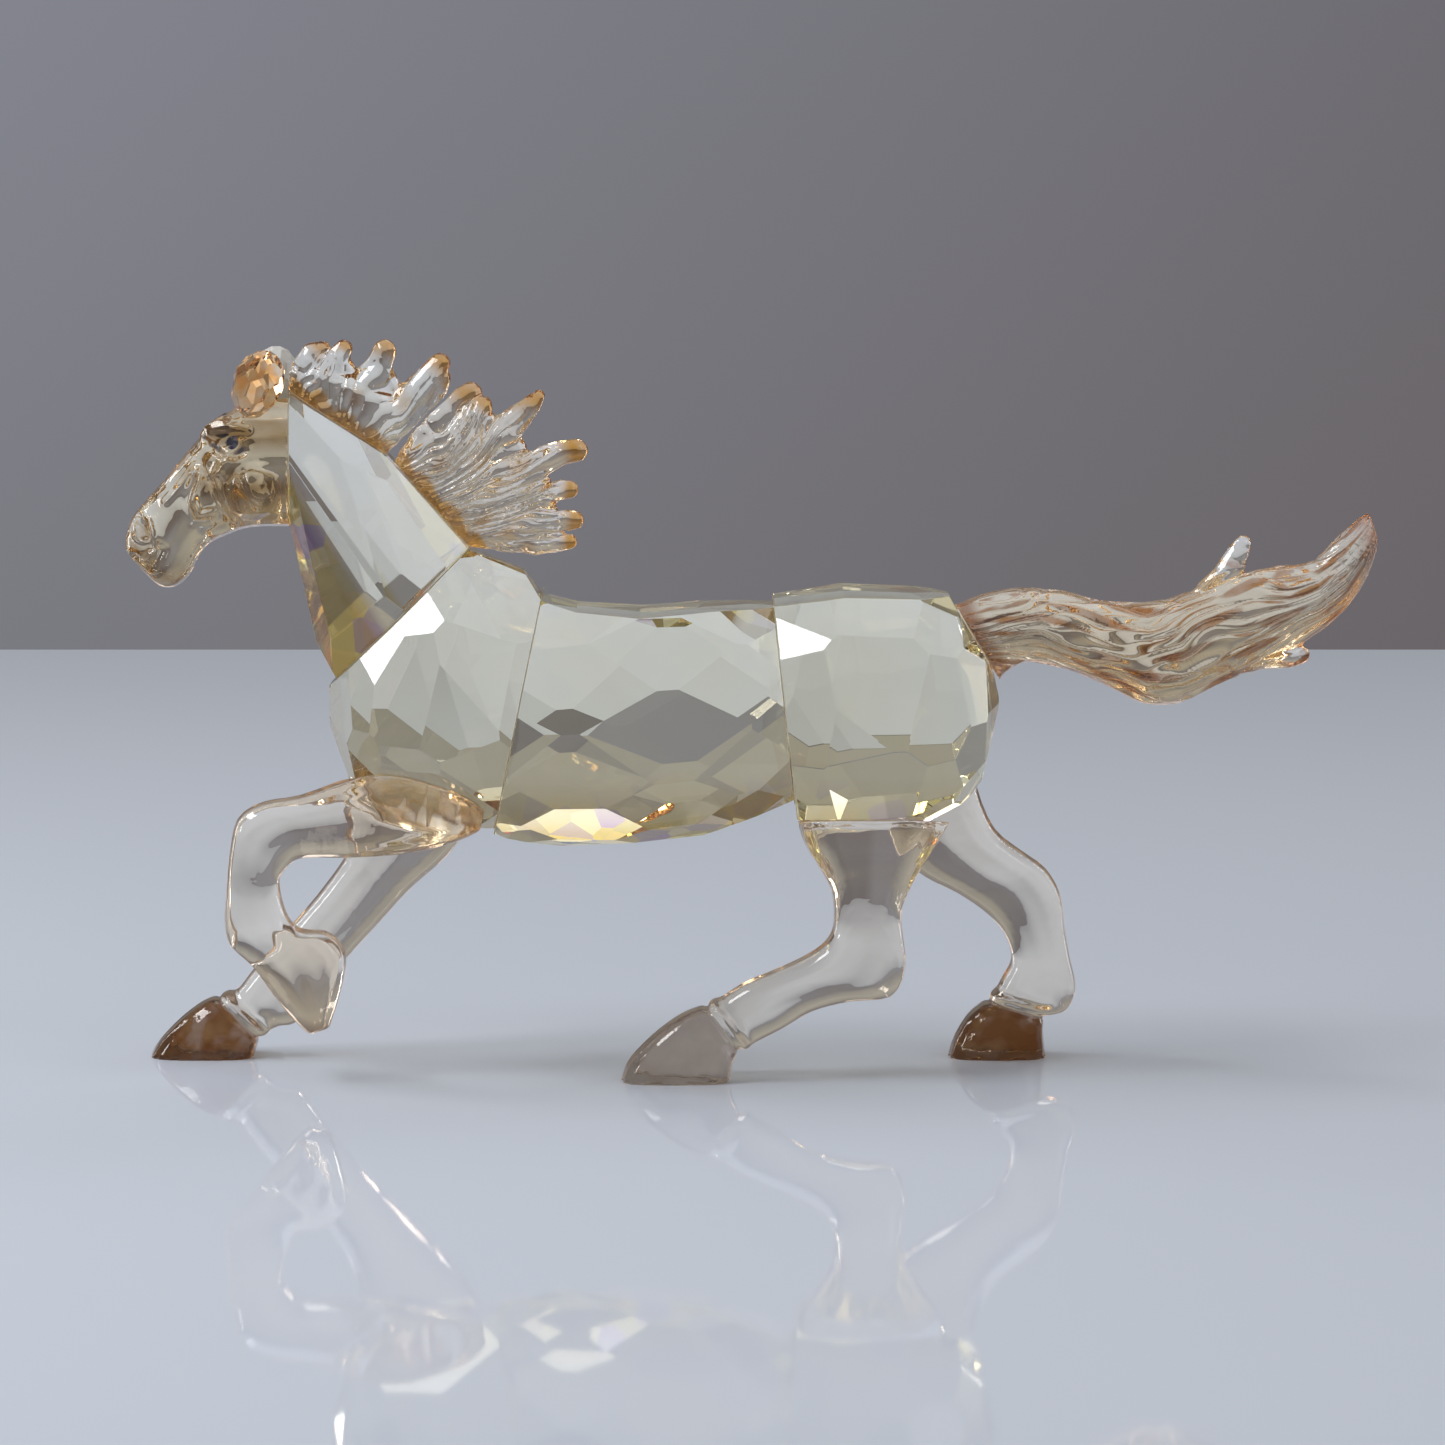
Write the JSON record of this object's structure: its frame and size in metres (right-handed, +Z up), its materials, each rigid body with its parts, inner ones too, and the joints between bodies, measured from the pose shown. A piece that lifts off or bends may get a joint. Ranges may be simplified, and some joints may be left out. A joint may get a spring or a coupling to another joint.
{
  "type": "crystal glass figurine",
  "caption": "Galloping horse figurine glued up from facet-cut crystal body stones and smooth cast glass head, manes, legs and tail.",
  "frame": {"origin": "centre of the figurine's box, on the surface that its hooves stand on", "axes": "+Z up, +X towards the tail tip, -X towards the muzzle, -Y is the horse's left side"},
  "size_m": [0.1785, 0.037, 0.1046],
  "materials": {
    "cut_crystal": "polished facet-cut lead crystal, pale champagne",
    "clear_casting": "smooth fire-polished glass with faint champagne tint, amber at nostrils and lips",
    "mane_casting": "smooth ridged glass with amber tips",
    "tail_casting": "wavy ridged glass with copper streaks and an amber tip",
    "leg_casting": "smooth clear glass with rose-amber rims and amber-brown hooves",
    "amber_bead": "faceted amber glass bead",
    "pale_bead": "faceted clear glass bead",
    "eye_stone": "faceted dark blue pointed-back stone",
    "cured_adhesive": "clear cured adhesive with a faint golden tint"
  },
  "bodies": {
    "root": {"head": "clear_casting", "ear_left": "amber_bead", "ear_right": "pale_bead", "eye_left": "eye_stone", "eye_right": "eye_stone", "neck_stone": "cut_crystal", "shoulder_stone": "cut_crystal", "barrel_stone": "cut_crystal", "haunch_stone": "cut_crystal", "mane_front": "mane_casting", "mane_rear": "mane_casting", "tail": "tail_casting", "leg_front_left": "leg_casting", "leg_front_right": "leg_casting", "leg_hind_left": "leg_casting", "leg_hind_right": "leg_casting", "bond_head_neck": "cured_adhesive", "bond_neck_shoulder": "cured_adhesive", "bond_shoulder_barrel": "cured_adhesive", "bond_barrel_haunch": "cured_adhesive", "bond_tail": "cured_adhesive", "bond_mane_front": "cured_adhesive", "bond_mane_rear": "cured_adhesive", "bond_leg_front_left": "cured_adhesive", "bond_leg_front_right": "cured_adhesive", "bond_leg_hind_left": "cured_adhesive", "bond_leg_hind_right": "cured_adhesive", "bond_ear_left": "cured_adhesive", "bond_ear_right": "cured_adhesive", "bond_eye_left": "cured_adhesive", "bond_eye_right": "cured_adhesive"}
  },
  "joints": []
}
